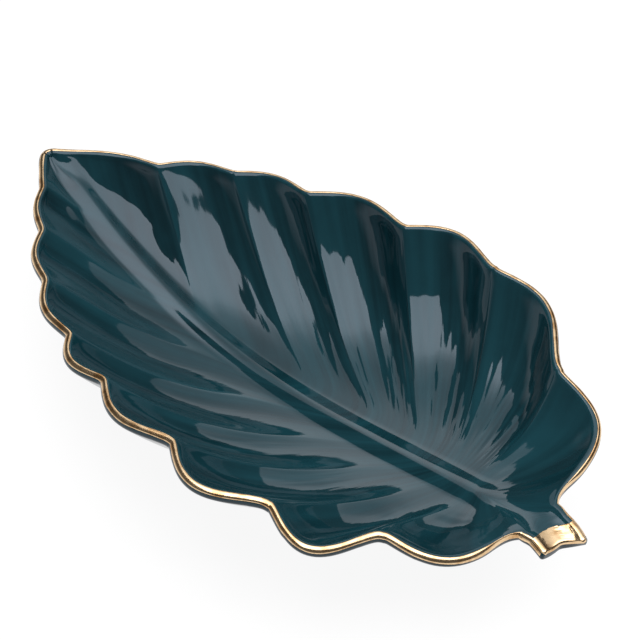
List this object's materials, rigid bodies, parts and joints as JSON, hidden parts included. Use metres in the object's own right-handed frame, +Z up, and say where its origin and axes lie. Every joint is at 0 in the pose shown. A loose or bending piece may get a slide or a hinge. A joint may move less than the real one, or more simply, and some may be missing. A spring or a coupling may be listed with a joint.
{
  "type": "leaf shaped plate",
  "caption": "Glazed ceramic serving plate shaped like a broad leaf, with a raised midrib, fluted walls, a scalloped gold lip, a short gold stem and a foot ring.",
  "frame": {"origin": "under the middle of the plan, on the surface the plate stands on", "axes": "+X along the midrib towards the stem, +Z up out of the dish, +Y to the side with fewer lobes"},
  "size_m": [0.305, 0.1718, 0.0543],
  "materials": {
    "glaze": "dark teal green high gloss glaze",
    "gold_lustre": "bright fired gold lustre",
    "bare_body": "unglazed, fine matt body"
  },
  "bodies": {
    "root": {"leaf_dish": "glaze", "gold_rim": "gold_lustre", "gold_stem_tip": "gold_lustre", "foot_ring": "bare_body"}
  },
  "joints": []
}
